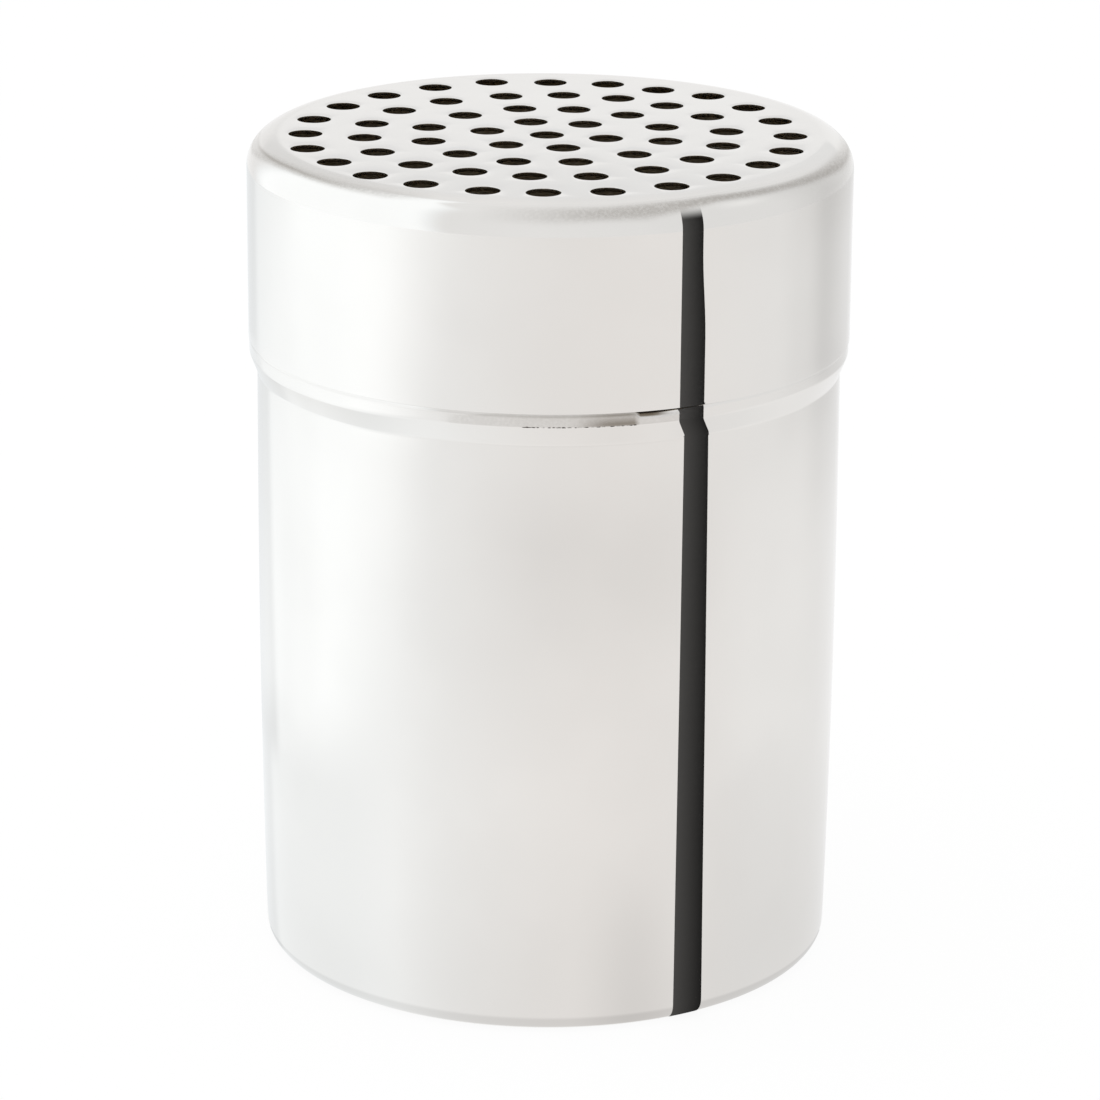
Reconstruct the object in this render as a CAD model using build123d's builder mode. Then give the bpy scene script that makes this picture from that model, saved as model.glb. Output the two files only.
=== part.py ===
from build123d import *

import os
from math import acos, degrees, radians, sin, sqrt

# A hand shaker for ground spice, in millimetres, standing on Z = 0 with +Z up.
# It is two deep-drawn pieces of stainless sheet: a cup that holds the spice and a
# perforated lid that pushes over the cup's neck and comes to rest on its stop bead.

# ---- driving dimensions: the lid -------------------------------------------------
lid_diameter = 70.0  # outside, the widest part of the shaker
lid_height = 23.1
lid_sheet = 0.5
lid_corner_radius = 3.6  # outside, between the top and the skirt

# ---- driving dimensions: the pour holes ------------------------------------------
hole_diameter = 3.9
ring_count = 4
holes_per_step = 6  # each ring has this many holes more than the one inside it
hole_margin = 1.65  # plain metal between the outermost holes and the rounded corner
lid_turn = 15.4  # how far the lid happens to be turned on the cup, anticlockwise

# ---- driving dimensions: the cup -------------------------------------------------
cup_sheet = 0.5
body_step = 1.0  # how far the wall lies inside the lid's outside, under the bead
wall_draft = 0.4  # how far the wall comes in on its way down to the base
base_corner_radius = 2.2  # outside
foot_width = 5.0  # flat ring that the cup stands on
base_recess = 0.8  # the panel inside the foot ring is lifted by this much
recess_step_width = 1.6  # slope between the foot ring and the panel
recess_bend_radius = 1.2

# ---- driving dimensions: the stop bead and the neck ------------------------------
bead_height = 74.0  # crest of the stop bead above the table
bead_inset = 0.1  # how far the crest lies inside the lid's outside
bead_radius_below = 8.0  # long, soft flank that runs down to the wall
bead_radius_above = 1.0  # short flank that the lid sits on
bead_foot_radius = 0.8  # hollow where the lower flank leaves the wall
rim_headroom = 7.5  # from the cup's rim to the underside of the lid's top
edge_break = 0.15  # deburred edges of the trimmed sheet

# ---- clearances ------------------------------------------------------------------
neck_clearance = 0.2  # radial, so that the lid pushes on by hand
seat_gap = 0.1  # between the lid's lower edge and the bead

# ---- sizes that follow -----------------------------------------------------------
lid_radius = lid_diameter / 2
lid_bore_radius = lid_radius - lid_sheet
neck_radius = lid_bore_radius - neck_clearance
bead_radius = lid_radius - bead_inset
body_radius = lid_radius - body_step
base_radius = body_radius - wall_draft

# The lid's inner edge meets the bead's upper flank where the flank is as wide as the
# lid's bore, so the seat is that much higher than the crest.
seat_drop = bead_radius - lid_bore_radius
seat_rise = sqrt(bead_radius_above**2 - (bead_radius_above - seat_drop) ** 2)
lid_edge_height = bead_height + seat_rise + seat_gap
overall_height = lid_edge_height + lid_height
rim_height = overall_height - lid_sheet - rim_headroom

# Each flank of the bead is an arc that starts upright at the crest and turns inwards.
lower_turn = degrees(acos(1 - (bead_radius - body_radius) / bead_radius_below))
upper_turn = degrees(acos(1 - (bead_radius - neck_radius) / 2 / bead_radius_above))
flank_foot_height = bead_height - bead_radius_below * sin(radians(lower_turn))
neck_foot_height = bead_height + 2 * bead_radius_above * sin(radians(upper_turn))

foot_outer_radius = base_radius - base_corner_radius
panel_radius = foot_outer_radius - foot_width - recess_step_width

# The outermost ring of holes fills the flat of the lid, and the rest divide it evenly.
hole_radius = hole_diameter / 2
outer_ring_radius = lid_radius - lid_corner_radius - hole_margin - hole_radius
ring_step = outer_ring_radius / ring_count

# ---- cup -------------------------------------------------------------------------
with BuildPart() as cup:
    with BuildSketch(Plane.XZ):
        with BuildLine() as skin:
            # Outer skin, from the axis outwards along the base and up the wall.
            FilletPolyline(
                (0, base_recess),
                (panel_radius, base_recess),
                (panel_radius + recess_step_width, 0),
                (base_radius, 0),
                (body_radius, flank_foot_height),
                radius=(recess_bend_radius, recess_bend_radius, base_corner_radius),
            )
            CenterArc(
                (bead_radius - bead_radius_below, bead_height),
                bead_radius_below,
                start_angle=-lower_turn,
                arc_size=lower_turn,
            )
            bead_foot = skin.vertices().sort_by_distance((body_radius, flank_foot_height))[0]
            fillet(bead_foot, bead_foot_radius)
            CenterArc(
                (bead_radius - bead_radius_above, bead_height),
                bead_radius_above,
                start_angle=0,
                arc_size=upper_turn,
            )
            CenterArc(
                (neck_radius + bead_radius_above, neck_foot_height),
                bead_radius_above,
                start_angle=180 + upper_turn,
                arc_size=-upper_turn,
            )
            Line((neck_radius, neck_foot_height), (neck_radius, rim_height))
            # The skin is thickened inwards, which also closes the outline.
            offset(amount=cup_sheet, side=Side.LEFT)
        make_face()
    revolve(axis=Axis.Z)
    fillet(cup.edges().group_by(Axis.Z)[-1], edge_break)
cup.part.label = "cup"

# ---- lid -------------------------------------------------------------------------
with BuildPart() as lid:
    with BuildSketch(Plane.XZ):
        with BuildLine():
            # Outer skin, from the axis outwards along the top and down the skirt.
            FilletPolyline(
                (0, overall_height),
                (lid_radius, overall_height),
                (lid_radius, lid_edge_height),
                radius=lid_corner_radius,
            )
            offset(amount=lid_sheet, side=Side.RIGHT)
        make_face()
    revolve(axis=Axis.Z)
    fillet(lid.edges().group_by(Axis.Z)[0], edge_break)

    # Pour holes: one in the middle and the rings round it, which all have a hole on the
    # ray that points to the back of the shaker, turned by lid_turn.
    with BuildSketch(Plane.XY.offset(overall_height)):
        Circle(hole_radius)
        for ring in range(1, ring_count + 1):
            ring_holes = ring * holes_per_step
            with PolarLocations(ring * ring_step, ring_holes, start_angle=90 + lid_turn):
                Circle(hole_radius)
    extrude(amount=-lid_sheet, mode=Mode.SUBTRACT)
lid.part.label = "lid"

# ---- files -----------------------------------------------------------------------
os.makedirs("parts", exist_ok=True)
export_step(cup.part, "parts/cup.step")
export_step(lid.part, "parts/lid.step")
print(f"height {overall_height:.2f}, lid edge at {lid_edge_height:.2f}, rim at {rim_height:.2f}")
print(f"bead foot at {flank_foot_height:.2f}, neck radius {neck_radius:.2f}, turn {lower_turn:.1f}")
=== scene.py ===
"""Looks of a polished stainless steel spice shaker.

The shaker is two drawn pieces of sheet: a cup with a stop bead and a neck, and a punched lid that
pushes over the neck. Each piece is a surface of two parameters worked out with numpy, and wears the
finishes that its making leaves: a buffed outside, a plain drawn inside and sheared edges. Round it
stands a small studio: white paper, a softbox, and sheets that only the steel mirrors, which are a
lit table, a narrow dark flag, a tent of white cloth and a grey valance.
"""

import logging
import math
from dataclasses import dataclass, field
from enum import Enum
from typing import Any, Mapping

import bmesh
import bpy
import numpy as np
from bpy.types import Material, Mesh, NodeSocket, NodeTree, Object
from mathutils import Matrix, Vector


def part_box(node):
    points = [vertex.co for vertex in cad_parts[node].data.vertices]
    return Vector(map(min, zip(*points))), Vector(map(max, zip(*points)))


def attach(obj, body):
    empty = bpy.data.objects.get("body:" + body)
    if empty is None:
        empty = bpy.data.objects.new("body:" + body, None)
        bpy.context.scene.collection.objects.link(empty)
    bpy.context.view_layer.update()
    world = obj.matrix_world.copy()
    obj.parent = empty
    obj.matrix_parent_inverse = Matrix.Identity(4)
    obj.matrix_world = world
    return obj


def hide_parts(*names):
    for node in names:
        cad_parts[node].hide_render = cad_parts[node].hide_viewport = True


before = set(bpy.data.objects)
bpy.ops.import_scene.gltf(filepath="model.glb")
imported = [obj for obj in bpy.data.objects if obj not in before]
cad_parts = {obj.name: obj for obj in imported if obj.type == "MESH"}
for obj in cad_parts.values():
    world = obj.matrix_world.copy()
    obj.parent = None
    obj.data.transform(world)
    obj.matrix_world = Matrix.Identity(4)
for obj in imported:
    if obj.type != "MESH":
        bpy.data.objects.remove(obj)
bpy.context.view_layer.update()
LOG = logging.getLogger("shaker")

MM = 0.001
"""One millimetre in metres. Sizes are held in millimetres and turned to metres in the mesh."""
UPRIGHT = np.array([0.0, 0.0, 1.0])


# ---- colours and nodes -------------------------------------------------------------------------


def linear(colour: str) -> tuple[float, float, float, float]:
    """Turns an sRGB hex colour to the linear colour that a shader takes.

    Args:
        colour: six hex digits after a hash.

    Returns:
        Red, green, blue and an alpha of 1.
    """
    channels = [int(colour[i : i + 2], 16) / 255 for i in (1, 3, 5)]
    straight = [c / 12.92 if c <= 0.04045 else ((c + 0.055) / 1.055) ** 2.4 for c in channels]
    return straight[0], straight[1], straight[2], 1.0


def add_node(
    tree: NodeTree,
    kind: str,
    inputs: Mapping[Any, Any] | None = None,
    out: int | str = 0,
    **settings: Any,
) -> NodeSocket | None:
    """Adds one node with its settings, fills or links its inputs and gives one of its outputs.

    Args:
        tree: the node tree.
        kind: the node's type without "ShaderNode", such as "Math".
        inputs: socket name or number to a value, or to the output socket that feeds it.
        out: name or number of the output socket.
        **settings: properties of the node itself.

    Returns:
        That output socket, or None where the node has no outputs.
    """
    node = tree.nodes.new("ShaderNode" + kind)
    for name, value in settings.items():
        setattr(node, name, value)
    for name, value in (inputs or {}).items():
        if isinstance(value, NodeSocket):
            tree.links.new(value, node.inputs[name])
        else:
            node.inputs[name].default_value = value
    return node.outputs[out] if node.outputs else None


def empty_material(name: str) -> tuple[Material, NodeTree]:
    """Makes a material with an empty node tree.

    Args:
        name: the material's name.

    Returns:
        The material and its tree.
    """
    material = bpy.data.materials.new(name)
    material.use_nodes = True
    material.node_tree.nodes.clear()
    return material, material.node_tree


def seen_or_mirrored(tree: NodeTree) -> NodeSocket:
    """Adds what tells the rays that show a surface from those that only carry its light on.

    Args:
        tree: the node tree.

    Returns:
        A socket that is 1 for camera, glossy and transmission rays, and 0 for the rest.
    """
    path = add_node(tree, "LightPath").node.outputs
    first_two = {0: path["Is Camera Ray"], 1: path["Is Glossy Ray"]}
    either = add_node(tree, "Math", first_two, operation="ADD")
    all_three = {0: either, 1: path["Is Transmission Ray"]}
    return add_node(tree, "Math", all_three, operation="ADD", use_clamp=True)


def add_object(name: str, data: bpy.types.ID) -> Object:
    """Makes an object and links it to the scene.

    Args:
        name: its name.
        data: its mesh, lamp or camera.

    Returns:
        The object.
    """
    made = bpy.data.objects.new(name, data)
    bpy.context.scene.collection.objects.link(made)
    return made


# ---- values that change over the surface -------------------------------------------------------


def smooth_step(x: np.ndarray, start: float, end: float) -> np.ndarray:
    """Rises from 0 at start to 1 at end, level at both: 3t^2 - 2t^3 of the share t of the way."""
    t = np.clip((x - start) / (end - start), 0.0, 1.0)
    return t * t * (3 - 2 * t)


def bump(x: np.ndarray, middle: float | np.ndarray, half: float) -> np.ndarray:
    """A rounded bump of height 1: e to the minus square of the distance over the half width."""
    return np.exp(-(((x - middle) / half) ** 2))


@dataclass(frozen=True)
class Stretch:
    """A stretch with soft ends, 0 before it and past it and 1 along its middle.

    Args:
        start: where it begins to rise.
        full: where it has risen.
        falling: where it begins to fall.
        end: where it has fallen.
    """

    start: float
    full: float
    falling: float
    end: float

    def over(self, x: np.ndarray) -> np.ndarray:
        """The stretch at each x: two smooth steps, one up and one down."""
        return smooth_step(x, self.start, self.full) * (1 - smooth_step(x, self.falling, self.end))


@dataclass(frozen=True)
class Course:
    """A value that runs straight from point to point, such as a depth along bearings.

    Args:
        points: pairs of a place, rising, and the value there.
    """

    points: tuple[tuple[float, float], ...]

    def at(self, x: np.ndarray) -> np.ndarray:
        """The value at each x, level before the first point and past the last."""
        return np.interp(x, *zip(*self.points))


# ---- shapes of sheet ---------------------------------------------------------------------------


class Skin(Enum):
    """The kinds of surface on a piece of sheet. Each takes a finish of its own."""

    OUTSIDE = 0
    INSIDE = 1
    CUT = 2


class Outside(Enum):
    """The side of a section's path that faces out, seen along the path."""

    LEFT = 1
    RIGHT = -1


@dataclass(frozen=True)
class Corner:
    """A corner of a section, where the two straight runs beside it would meet.

    Args:
        out: distance from the axis, in millimetres.
        up: height above the table, in millimetres.
        bend: radius that rounds it, in millimetres.
    """

    out: float
    up: float
    bend: float = 0.0


@dataclass(frozen=True)
class Section:
    """The section of a round piece of sheet: an outer skin, a trimmed edge and an inner skin.

    Args:
        corners: the outer skin's corners, from the middle of the piece to its trimmed edge.
        sheet: thickness in millimetres.
        outside: the side of that path which faces out.
        run_step: longest step along a straight run, in millimetres.
        bend_step: largest turn between two points of a bend, in degrees.
        hold: distance from a bend to the first point of the straight run, in millimetres.
        edge_roundness: depth of the trimmed edge's rounding as a share of the thickness.
        lip: how much further the outer skin runs than the inner one, in millimetres.
        lip_run: length over which the inner skin is drawn back for the lip, in millimetres.
    """

    corners: tuple[Corner, ...]
    sheet: float
    outside: Outside
    run_step: float = 1.6
    bend_step: float = 5.0
    hold: float = 0.12
    edge_roundness: float = 0.3
    lip: float = 0.0
    lip_run: float = 3.0

    def run(self, start: np.ndarray, end: np.ndarray) -> np.ndarray:
        """Points of a straight run without its last one, with one close to each end.

        Args:
            start: where the run starts.
            end: where it ends.

        Returns:
            Points, one row each.
        """
        length = float(np.linalg.norm(end - start))
        steps = max(1, math.ceil(length / self.run_step))
        inner = np.linspace(self.hold, length - self.hold, steps + 1) if length > 4 * self.hold else []
        along = np.concatenate([[0.0], inner])
        return start + np.outer(along, (end - start) / max(length, 1e-9))

    def outer_skin(self) -> tuple[np.ndarray, np.ndarray]:
        """Walks the corners: straight runs joined by arcs that touch both.

        An arc of radius b at a corner that turns by a starts b tan(a/2) before it, and its normal
        turns evenly from that of one run to that of the next.

        Returns:
            Points and unit normals that face out, one row each, as (out, up).
        """
        places = np.array([(c.out, c.up) for c in self.corners])
        ways = np.diff(places, axis=0)
        ways /= np.linalg.norm(ways, axis=1)[:, None]
        headings = np.unwrap(np.arctan2(ways[:, 1], ways[:, 0]))
        quarter = math.pi / 2 * self.outside.value
        points, facing = [], []
        start = places[0]
        for i, corner in enumerate(self.corners[1:-1], 1):
            turn = headings[i] - headings[i - 1]
            reach = corner.bend * math.tan(abs(turn) / 2)
            touch = places[i] - ways[i - 1] * reach
            straight = self.run(start, touch)
            points.append(straight)
            facing.append(np.full(len(straight), headings[i - 1] + quarter))
            side = math.copysign(math.pi / 2, turn)
            first = headings[i - 1] + side
            centre = touch + corner.bend * np.array([math.cos(first), math.sin(first)])
            steps = max(4, math.ceil(math.degrees(abs(turn)) / self.bend_step))
            turned = headings[i - 1] + np.linspace(0, turn, steps + 1)
            spoke = np.stack([np.cos(turned + side), np.sin(turned + side)], axis=1)
            points.append(centre - corner.bend * spoke)
            facing.append(turned + quarter)
            start = places[i] + ways[i] * reach
        end = places[-1] - ways[-1] * self.edge_depth()
        last = self.run(start, end)[1:]
        points.append(np.concatenate([last, end[None]]))
        facing.append(np.full(len(last) + 1, headings[-1] + quarter))
        angle = np.concatenate(facing)
        return np.concatenate(points), np.stack([np.cos(angle), np.sin(angle)], axis=1)

    def edge_depth(self) -> float:
        """How far the rounded edge stands past the last point of the skin, in millimetres."""
        return self.sheet * self.edge_roundness

    def outline(self, edge_steps: int = 8) -> tuple[np.ndarray, np.ndarray]:
        """Goes out along the outer skin, round the trimmed edge and back along the inner skin.

        The inner skin is the outer one moved in by the sheet's thickness, and drawn back towards
        the edge by the lip. The edge is half a superellipse of power 3, so it is nearly straight
        with softened corners. Buffing reaches round the outer one.

        Args:
            edge_steps: steps round the edge.

        Returns:
            Points as (out, up), and the kind of skin of each step between two of them.
        """
        points, normals = self.outer_skin()
        heading = points[-1] - points[-2]
        heading /= np.linalg.norm(heading)
        left = np.linalg.norm(points - points[-1], axis=1)[:, None]
        drawn_back = points - heading * self.lip * np.clip(1 - left / self.lip_run, 0.0, 1.0)
        inner = (drawn_back - self.sheet * normals)[::-1]
        angle = np.linspace(0, math.pi, edge_steps + 1)[1:-1, None]
        across = np.sign(np.cos(angle)) * np.abs(np.cos(angle)) ** (2 / 3)
        beyond = np.sin(angle) ** (2 / 3)
        middle, half = (points[-1] + inner[0]) / 2, (points[-1] - inner[0]) / 2
        edge = middle + across * half + beyond * heading * self.edge_depth()
        kinds = [Skin.OUTSIDE] * (len(points) + 1) + [Skin.CUT] * (edge_steps - 2)
        kinds += [Skin.INSIDE] * (len(points) - 1)
        return np.concatenate([points, edge, inner]), np.array([k.value for k in kinds])


@dataclass
class Patchwork:
    """Grids of points that are gathered, welded where they meet and made into one closed mesh."""

    points: list[np.ndarray] = field(default_factory=list)
    quads: list[np.ndarray] = field(default_factory=list)
    kinds: list[np.ndarray] = field(default_factory=list)
    count: int = 0

    def add_grid(self, grid: np.ndarray, kinds: np.ndarray) -> None:
        """Adds a grid that closes on itself along its second side.

        Args:
            grid: points in millimetres, (rows, columns, 3).
            kinds: the kind of skin of each step from one row to the next.
        """
        rows, columns = grid.shape[:2]
        row, column = np.meshgrid(np.arange(rows - 1), np.arange(columns), indexing="ij")
        after = (column + 1) % columns
        corners = [row * columns + column, (row + 1) * columns + column]
        corners += [(row + 1) * columns + after, row * columns + after]
        self.quads.append(self.count + np.stack(corners, axis=-1).reshape(-1, 4))
        self.kinds.append(np.repeat(kinds, columns))
        self.points.append(grid.reshape(-1, 3))
        self.count += rows * columns

    def mesh(self, name: str, weld: float = 1e-4) -> Mesh:
        """Makes the mesh, with seams and poles welded and every face turned outwards.

        Args:
            name: the mesh's name.
            weld: points closer than this, in millimetres, become one.

        Returns:
            A smooth-shaded mesh in metres, whose material index is the kind of skin.
        """
        mesh = bpy.data.meshes.new(name)
        points = np.concatenate(self.points) * MM
        quads = np.concatenate(self.quads)
        first, second, third = (points[quads[:, i]] for i in range(3))
        if np.einsum("ij,ij->", first, np.cross(second, third)) < 0:
            quads = quads[:, ::-1]
        mesh.from_pydata(points, [], quads)
        mesh.polygons.foreach_set("material_index", np.concatenate(self.kinds))
        work = bmesh.new()
        work.from_mesh(mesh)
        bmesh.ops.remove_doubles(work, verts=work.verts, dist=weld * MM)
        work.to_mesh(mesh)
        work.free()
        mesh.polygons.foreach_set("use_smooth", np.ones(len(mesh.polygons), bool))
        mesh.validate()
        return mesh


def places_of(mesh: Mesh) -> np.ndarray:
    """The mesh's points in millimetres, one row each."""
    flat = np.empty(len(mesh.vertices) * 3, np.float32)
    mesh.vertices.foreach_get("co", flat)
    return flat.reshape(-1, 3).astype(float) / MM


def move_to(mesh: Mesh, places: np.ndarray) -> None:
    """Puts the mesh's points at places given in millimetres."""
    mesh.vertices.foreach_set("co", (places * MM).astype(np.float32).ravel())
    mesh.update()


def mark(mesh: Mesh, name: str, values: np.ndarray) -> None:
    """Stores one number per point, which a material reads by name."""
    attribute = mesh.attributes.new(name, "FLOAT", "POINT")
    attribute.data.foreach_set("value", values.astype(np.float32))


def revolve(outline: np.ndarray, angles: np.ndarray) -> np.ndarray:
    """Carries an outline round the upright axis: x = out cos a, y = out sin a, z = up.

    Args:
        outline: points as (out, up).
        angles: radians from +X.

    Returns:
        A grid of points, (outline, angles, 3).
    """
    out, up = outline[:, :1], outline[:, 1:]
    return np.stack([out * np.cos(angles), out * np.sin(angles), up + 0 * angles], axis=-1)


def bearing(places: np.ndarray) -> np.ndarray:
    """Degrees round the axis from the front, which is -Y, positive towards +X."""
    return np.degrees(np.arctan2(places[:, 0], -places[:, 1]))


def towards(turn: np.ndarray, lift: np.ndarray | float = 0.0) -> np.ndarray:
    """Unit directions at bearings a and elevations e: (cos e sin a, -cos e cos a, sin e).

    Args:
        turn: bearings in degrees.
        lift: elevations in degrees.

    Returns:
        The directions.
    """
    angle, rise = np.radians(turn), np.radians(lift)
    level = np.cos(rise)
    return np.stack([level * np.sin(angle), -level * np.cos(angle), np.sin(rise) + 0 * angle], axis=-1)


@dataclass(frozen=True)
class Ripple:
    """How far thin drawn sheet strays from a true round: a few slow waves round and along it.

    Args:
        seed: fixes the waves.
        depth: height of each wave, in millimetres.
        waves: how many there are.
        most_lobes: the most lobes that a wave has round the piece.
        length: the shortest wave along the piece, in millimetres.
    """

    seed: int
    depth: float
    waves: int = 9
    most_lobes: int = 11
    length: float = 38.0

    def radial(self, places: np.ndarray) -> np.ndarray:
        """Sums depth cos(lobes a + p) cos(2 pi z / length + q) over the waves.

        Args:
            places: points in millimetres.

        Returns:
            The move outwards of each point, in millimetres.
        """
        draw = np.random.default_rng(self.seed)
        angle = np.arctan2(places[:, 1], places[:, 0])
        total = np.zeros(len(places))
        for _ in range(self.waves):
            lobes = draw.integers(2, self.most_lobes + 1)
            length = self.length * draw.uniform(1.0, 2.5)
            early, late = draw.uniform(0, 2 * math.pi, 2)
            round_part = np.cos(lobes * angle + early) / math.sqrt(lobes)
            total += self.depth * round_part * np.cos(2 * math.pi * places[:, 2] / length + late)
        return total


def swell(places: np.ndarray, outwards: np.ndarray) -> np.ndarray:
    """Moves each point outwards from the axis by its own distance.

    Args:
        places: points in millimetres.
        outwards: the distance for each.

    Returns:
        The moved points.
    """
    moved = places.copy()
    spread = np.hypot(places[:, 0], places[:, 1])
    moved[:, :2] *= (1 + outwards / np.maximum(spread, 1.0))[:, None]
    return moved


# ---- finishes of stainless steel ---------------------------------------------------------------


@dataclass(frozen=True)
class Steel:
    """Austenitic stainless sheet. Each kind of finish gives it a colour, a roughness and a relief.

    Args:
        name: the material's name.
        roughness: its mean roughness.
        unevenness: how much rougher it is than that where its pattern is lightest.
    """

    name: str
    roughness: float
    unevenness: float

    def skin(self, tree: NodeTree, place: NodeSocket) -> tuple[NodeSocket, NodeSocket, NodeSocket]:
        """Adds the finish's own nodes, and gives its colour, roughness and normal by place."""
        raise NotImplementedError

    def uneven(self, tree: NodeTree, pattern: NodeSocket) -> NodeSocket:
        """Adds a roughness that rises with a pattern from 0 to 1."""
        low, high = self.roughness - self.unevenness, self.roughness + self.unevenness
        return add_node(tree, "MapRange", {"Value": pattern, "To Min": low, "To Max": high})

    def make(self) -> Material:
        """Builds the material.

        Returns:
            The material.
        """
        material, tree = empty_material(self.name)
        colour, roughness, normal = self.skin(tree, add_node(tree, "TexCoord", out="Object"))
        metal = {"Base Color": colour, "Metallic": 1.0, "Roughness": roughness, "Normal": normal}
        add_node(tree, "OutputMaterial", {"Surface": add_node(tree, "BsdfPrincipled", metal)})
        return material


@dataclass(frozen=True)
class BuffedSteel(Steel):
    """Sheet that was drawn, then buffed on a wheel.

    It mirrors its surroundings with clean edges. What tells it from chrome is a slightly warm
    grey, faint lines that the wheel left round the piece, and a slow mottle where the sheet
    stretched unevenly. The attribute "dull" makes places greyer and rougher: partly skin that
    stretched or that the lid's edge rubs, partly painted shade and painted dark reflection. The
    attribute "smear" paints a brown-grey: painted shade and painted reflection along the seam, on
    the flare below it and in a thin line on the lid's corner. The attribute "specks" paints dark
    grains: a painted reflection of the base's contact shadow, and painted shade where the gap
    under the lid's edge begins.
    """

    roughness: float = 0.075
    unevenness: float = 0.025
    bright: str = "#E5E3E0"
    mottled: str = "#E3E1DE"
    # Grey of the duller places, which also paints shade and dark reflection on the bead and the lid's
    # corner.
    dull_and_shade: str = "#B2AEA9"
    # Brown-grey that paints shade and reflection along the seam and on the lid's corner.
    shade_tone: str = "#746A5D"
    # Near black that paints the specks: the base's contact shadow mirrored in the bead, and shade where the
    # gap begins.
    speck_shade: str = "#2F2822"
    dull_roughness: float = 0.3
    line_spacing: float = 0.45
    """Millimetres between wheel lines. Real ones are under 0.1 and would not show."""
    line_run: float = 14.0
    line_depth: float = 0.0012
    mottle_size: float = 16.0
    peel_size: float = 0.32
    # Millimetres across the stretched grains that give the greyer places their skin.
    """Millimetres across the stretched grains that give the dull places their skin."""
    peel_depth: float = 0.004
    buffed_peel: float = 0.03
    """Share of that skin that is left where the wheel has buffed it down."""
    speck_size: float = 0.42

    def skin(self, tree: NodeTree, place: NodeSocket) -> tuple[NodeSocket, NodeSocket, NodeSocket]:
        """Adds the wheel lines, the mottle, the stretched skin, the film and the grains.

        Args:
            tree: the material's node tree.
            place: the socket of the place on the piece.

        Returns:
            The sockets of its colour, its roughness and its normal.
        """
        # The piece's marks: greyer and rougher places, painted shade, and painted dark specks.
        dull_and_shade, painted_shade, specked = (
            add_node(tree, "Attribute", out="Fac", attribute_name=name)
            for name in ("dull_and_shade", "painted_shade", "specks")
        )
        # Wheel lines run round the piece: slow across, quick along the axis.
        scale = [1 / (size * MM) for size in (self.line_run, self.line_run, self.line_spacing)]
        laid = add_node(tree, "Mapping", {"Vector": place, "Scale": scale})
        lines = add_node(tree, "TexNoise", {"Vector": laid, "Scale": 1.0, "Detail": 2.0})
        mottle, peel, grains = (
            add_node(tree, "TexNoise", {"Vector": place, "Scale": 1 / (size * MM), "Detail": detail})
            for size, detail in ((self.mottle_size, 3.0), (self.peel_size, 2.0), (self.speck_size, 2.0))
        )

        # Noise keeps to the middle of its range, so each pattern is stretched out of there.
        clouds = {"Value": mottle, "From Min": 0.35, "From Max": 0.65}
        cloud = add_node(tree, "MapRange", clouds, interpolation_type="SMOOTHSTEP")
        grainy = add_node(
            tree, "MapRange", {"Value": peel, "From Min": 0.3, "From Max": 0.6, "To Min": 0.7}
        )
        dull_and_shaded = add_node(tree, "Math", {0: dull_and_shade, 1: grainy}, operation="MULTIPLY")
        # Dark specks, which paint the base's contact shadow mirrored in the bead and shade where the
        # gap begins, show where the noise and the piece's mark together pass 1.
        speck_sum = add_node(tree, "Math", {0: specked, 1: grains}, operation="ADD")
        speckled = add_node(tree, "MapRange", {"Value": speck_sum, "From Min": 1.0, "From Max": 1.12})
        colour = linear(self.mottled)
        layers = ((cloud, self.bright), (dull_and_shaded, self.dull_and_shade), (painted_shade, self.shade_tone), (speckled, self.speck_shade))
        for share, coat in layers:
            colour = add_node(
                tree, "Mix", {0: share, 6: colour, 7: linear(coat)}, out=2, data_type="RGBA"
            )

        painted_over = add_node(tree, "Math", {0: painted_shade, 1: speckled}, operation="MAXIMUM")
        spread = add_node(tree, "Math", {0: dull_and_shaded, 1: painted_over}, operation="MAXIMUM")
        added = {0: spread, 1: self.dull_roughness, 2: self.uneven(tree, lines)}
        roughness = add_node(tree, "Math", added, operation="MULTIPLY_ADD")

        stretched = {0: dull_and_shade, 1: 0.9, 2: self.buffed_peel}
        strength = add_node(tree, "Math", stretched, operation="MULTIPLY_ADD")
        rough_skin = {"Strength": strength, "Distance": self.peel_depth * MM, "Height": peel}
        peeled = add_node(tree, "Bump", rough_skin)
        wheel = {"Strength": 1.0, "Distance": self.line_depth * MM, "Height": lines, "Normal": peeled}
        return colour, roughness, add_node(tree, "Bump", wheel)


@dataclass(frozen=True)
class MattSteel(Steel):
    """Sheet that no wheel has reached. One pattern gives its light and dark, and its relief.

    Args:
        light: colour where the pattern is lightest.
        dark: colour where it is darkest.
        depth: depth of its relief, in millimetres.
    """

    light: str
    dark: str
    depth: float

    def pattern(self, tree: NodeTree, place: NodeSocket) -> NodeSocket:
        """Adds the pattern, from 0 to 1, which is laid out by place."""
        raise NotImplementedError

    def skin(self, tree: NodeTree, place: NodeSocket) -> tuple[NodeSocket, NodeSocket, NodeSocket]:
        """Lays the colours, the roughness and the relief by the pattern.

        Args:
            tree: the material's node tree.
            place: the socket of the place on the piece.

        Returns:
            The sockets of its colour, its roughness and its normal.
        """
        pattern = self.pattern(tree, place)
        tones = {0: pattern, 6: linear(self.dark), 7: linear(self.light)}
        colour = add_node(tree, "Mix", tones, out=2, data_type="RGBA")
        normal = add_node(tree, "Bump", {"Distance": self.depth * MM, "Height": pattern})
        return colour, self.uneven(tree, pattern), normal


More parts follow.
